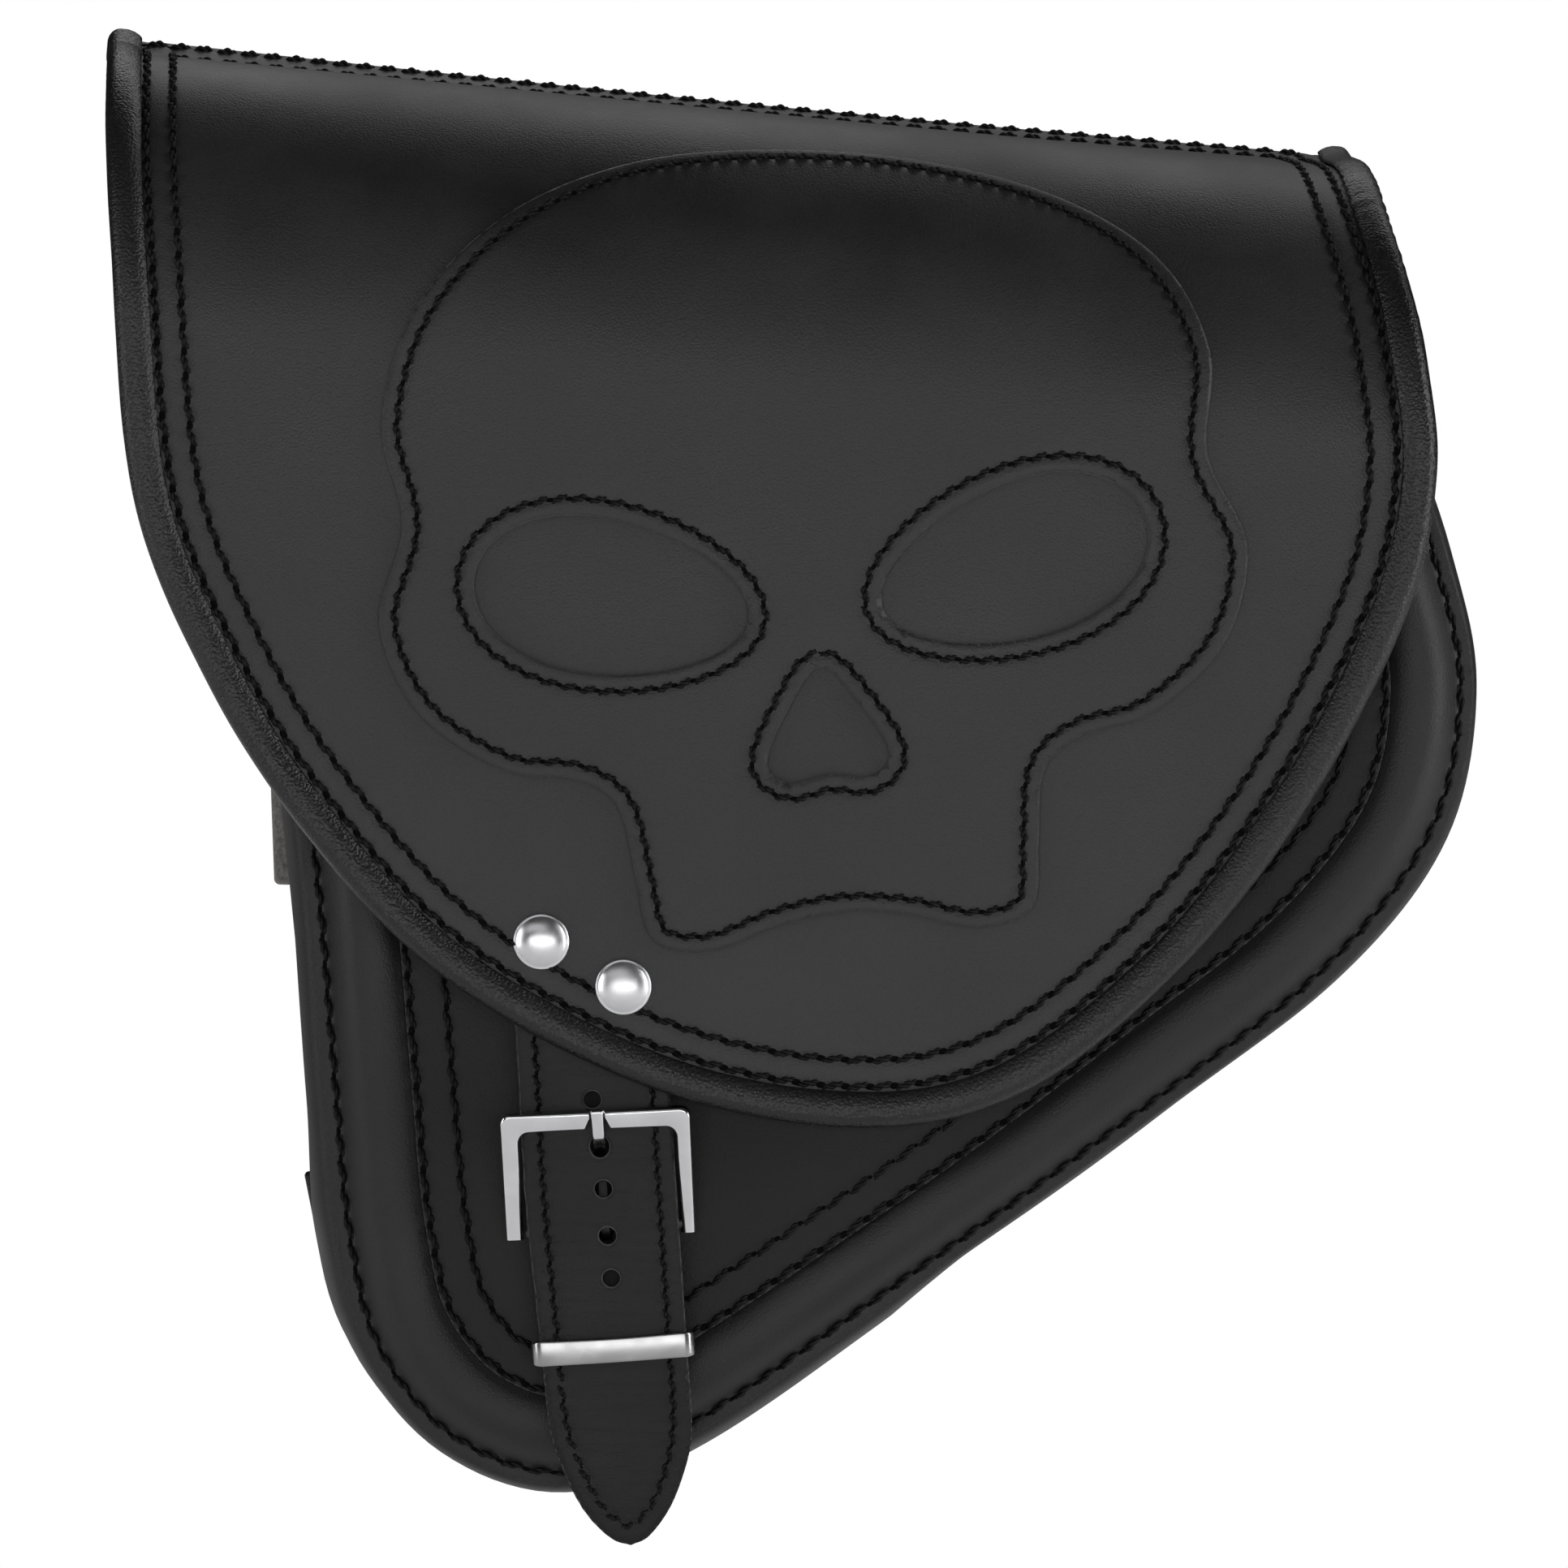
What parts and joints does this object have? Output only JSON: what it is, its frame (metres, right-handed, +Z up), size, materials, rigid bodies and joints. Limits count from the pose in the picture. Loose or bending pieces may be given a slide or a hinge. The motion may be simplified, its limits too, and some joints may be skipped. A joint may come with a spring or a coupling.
{
  "type": "motorcycle saddlebag",
  "caption": "Black leather motorcycle saddlebag: rounded bound lid with raised skull applique, padded front, one buckled closing strap, and looped mounting straps on the back.",
  "frame": {"origin": "middle of the flat outer face of the upper mounting strap, behind the bag's left half", "axes": "+X to the bag's right as seen from the front, +Y out of the back towards the motorcycle, +Z up"},
  "size_m": [0.3584, 0.1147, 0.3933],
  "materials": {
    "black_leather": "satin, fine grain",
    "binding_leather": "rolled, semi gloss",
    "chrome": "polished",
    "polished_steel": "polished",
    "steel": "satin",
    "board": "matte"
  },
  "bodies": {
    "bag": {"back_panel": "black_leather", "back_board": "board", "gusset": "black_leather", "front_panel": "black_leather", "front_overlay": "black_leather", "front_hem": "black_leather", "hinge_strip_back": "black_leather", "snap_stud": "steel", "upper_mount_strap": "black_leather", "upper_mount_post_1": "steel", "upper_mount_post_1_nut": "steel", "upper_mount_post_2": "steel", "upper_mount_post_2_nut": "steel", "lower_mount_strap": "black_leather", "lower_mount_post_1": "steel", "lower_mount_post_1_nut": "steel", "lower_mount_post_2": "steel", "lower_mount_post_2_nut": "steel"},
    "lid": {"lid_leather": "black_leather", "lid_binding": "binding_leather", "hinge_strip_lid": "black_leather", "skull_applique": "black_leather", "upper_rivet_cap": "chrome", "upper_rivet_washer": "steel", "lower_rivet_cap": "chrome", "lower_rivet_washer": "steel", "strap_upper": "black_leather"},
    "strap": {"strap_lower": "black_leather", "strap_backing": "black_leather", "buckle_chape": "black_leather", "snap_socket": "steel"},
    "buckle": {"buckle_frame": "chrome"},
    "prong": {"buckle_prong": "chrome"},
    "keeper": {"strap_keeper": "polished_steel"}
  },
  "joints": [
    {"name": "lid_hinge", "type": "hinge", "parent": "bag", "child": "lid", "pos_m": [-0.0696, -0.0117, 0.21], "axis": [-0.9954, 0, 0.0958], "range_deg": [0, 135]},
    {"name": "strap_flex", "type": "hinge", "parent": "lid", "child": "strap", "pos_m": [0.05278, -0.1072, -0.07136], "axis": [-0.9978, 0, -0.0663], "range_deg": [0, 25]},
    {"name": "buckle_swing", "type": "hinge", "parent": "strap", "child": "buckle", "pos_m": [0.0547, -0.0991, -0.1003], "axis": [0.9978, 0, 0.0663], "range_deg": [0, 2.5]},
    {"name": "prong_swing", "type": "hinge", "parent": "buckle", "child": "prong", "pos_m": [0.0547, -0.0991, -0.1003], "axis": [0.9978, 0, 0.0663], "range_deg": [0, 2.5]},
    {"name": "keeper_slide", "type": "slide", "parent": "strap", "child": "keeper", "axis": [0.0663, 0, -0.9978], "range_m": [0, 0.018]}
  ]
}
